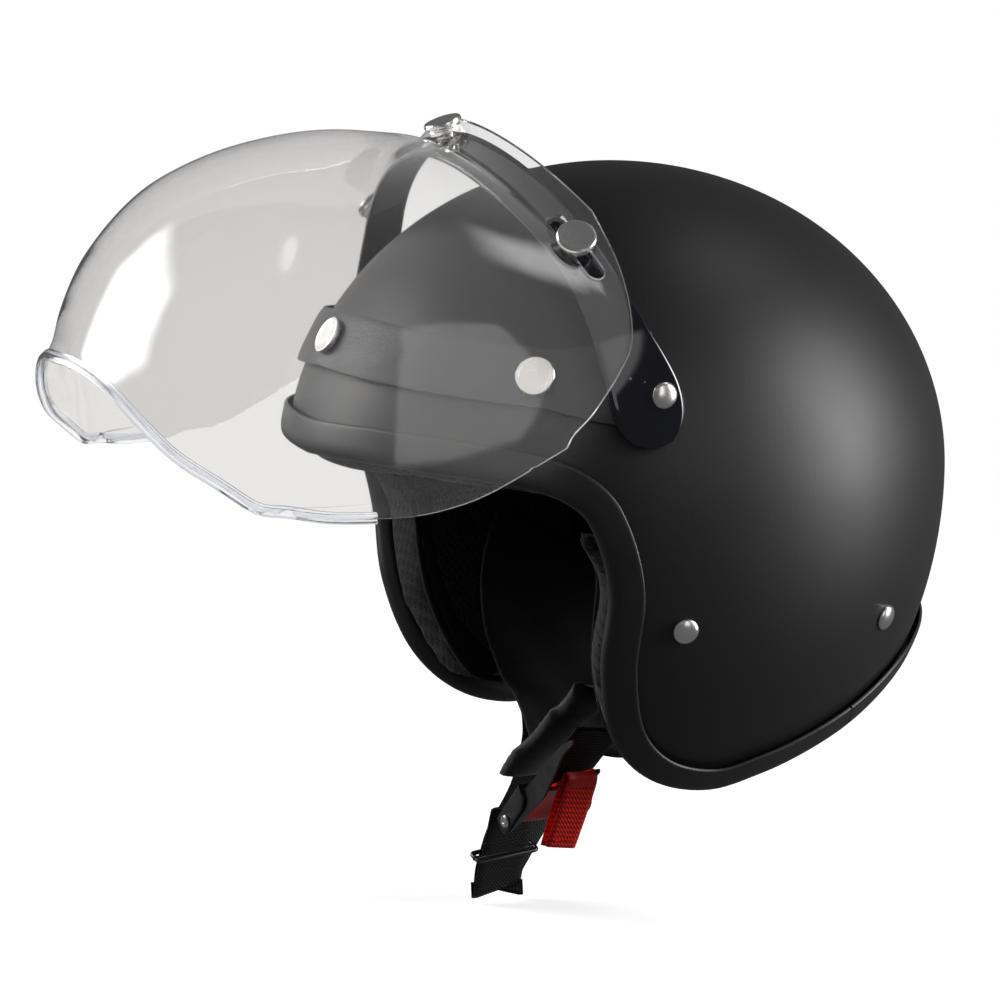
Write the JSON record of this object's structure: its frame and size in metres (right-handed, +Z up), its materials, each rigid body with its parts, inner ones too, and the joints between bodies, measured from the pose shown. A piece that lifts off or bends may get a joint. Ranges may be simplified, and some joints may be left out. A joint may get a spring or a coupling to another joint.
{
  "type": "open face motorcycle helmet",
  "caption": "Open face motorcycle helmet with a flip-up bubble visor on a press-stud brow band, padded lining and a buckled chin strap.",
  "frame": {"origin": "middle of the underside of the bounding box, with the visor raised; the lowest point is the fold of the hanging chin strap", "axes": "+Z up, the wearer faces -Y, the wearer's left is +X"},
  "size_m": [0.2464, 0.3694, 0.3153],
  "materials": {
    "clear_bead": "clear, soft",
    "dark_steel": "black plated",
    "eps_foam": "beaded foam",
    "gloss_black": "high gloss",
    "liner_fabric": "brushed knit",
    "matte_black": "matte painted, soft sheen",
    "nickel": "polished",
    "pad_fabric": "brushed knit",
    "pad_mesh": "three-dimensional air mesh",
    "red_plastic": "moulded",
    "red_webbing": "ribbed weave",
    "sleeve_fabric": "smooth knit",
    "smoke_clear": "light smoke tint, polished",
    "strap_vinyl": "fine grained, satin",
    "trim_rubber": "satin",
    "webbing": "woven",
    "zinc_steel": "zinc plated"
  },
  "bodies": {
    "helmet": {"outer_shell": "matte_black", "edge_trim": "trim_rubber", "eps_liner": "eps_foam", "comfort_liner": "liner_fabric", "brow_pad": "pad_mesh", "cheek_pad_left": "pad_mesh", "cheek_pad_right": "pad_mesh", "neck_roll": "pad_fabric", "base_strap": "strap_vinyl", "brow_stud_right": "nickel", "brow_snap_cap_right": "nickel", "brow_stud_center": "nickel", "brow_snap_cap_center": "nickel", "brow_stud_left": "nickel", "brow_snap_cap_left": "nickel", "shell_rivet_front_left": "nickel", "anchor_plate_front_left": "zinc_steel", "shell_rivet_rear_left": "nickel", "anchor_plate_rear_left": "zinc_steel", "shell_rivet_front_right": "nickel", "anchor_plate_front_right": "zinc_steel", "shell_rivet_rear_right": "nickel", "anchor_plate_rear_right": "zinc_steel"},
    "visor_frame": {"flip_arch": "gloss_black", "bubble_visor": "smoke_clear", "visor_edge_bead": "clear_bead", "visor_stud_right": "nickel", "visor_snap_cap_right": "nickel", "visor_stud_center": "nickel", "visor_snap_cap_center": "nickel", "visor_stud_left": "nickel", "visor_snap_cap_left": "nickel", "pivot_rivet_left": "nickel", "pivot_rivet_right": "nickel"},
    "chin_strap": {"strap_web_left": "webbing", "strap_web_right": "webbing", "strap_sleeve": "sleeve_fabric", "buckle_frame": "dark_steel", "buckle_pin_front": "nickel", "buckle_pin_rear": "nickel"},
    "lever": {"buckle_lever": "red_plastic", "pull_tab": "red_webbing"},
    "adjuster": {"strap_adjuster": "dark_steel"}
  },
  "joints": [
    {"name": "visor_flip", "type": "hinge", "parent": "helmet", "child": "visor_frame", "pos_m": [0, 0.00919, 0.21853], "axis": [-1, 0, 0], "range_deg": [-63, 20]},
    {"name": "strap_swing", "type": "hinge", "parent": "helmet", "child": "chin_strap", "pos_m": [0, 0.01679, 0.08553], "axis": [1, 0, 0], "range_deg": [-25, 35]},
    {"name": "lever_open", "type": "hinge", "parent": "chin_strap", "child": "lever", "pos_m": [0.02698, 0.00429, 0.04033], "axis": [0, 1, 0], "range_deg": [0, 55]},
    {"name": "adjuster_slide", "type": "slide", "parent": "chin_strap", "child": "adjuster", "axis": [0.3442, -0.0125, 0.9388], "range_m": [-0.003, 0.012]}
  ]
}
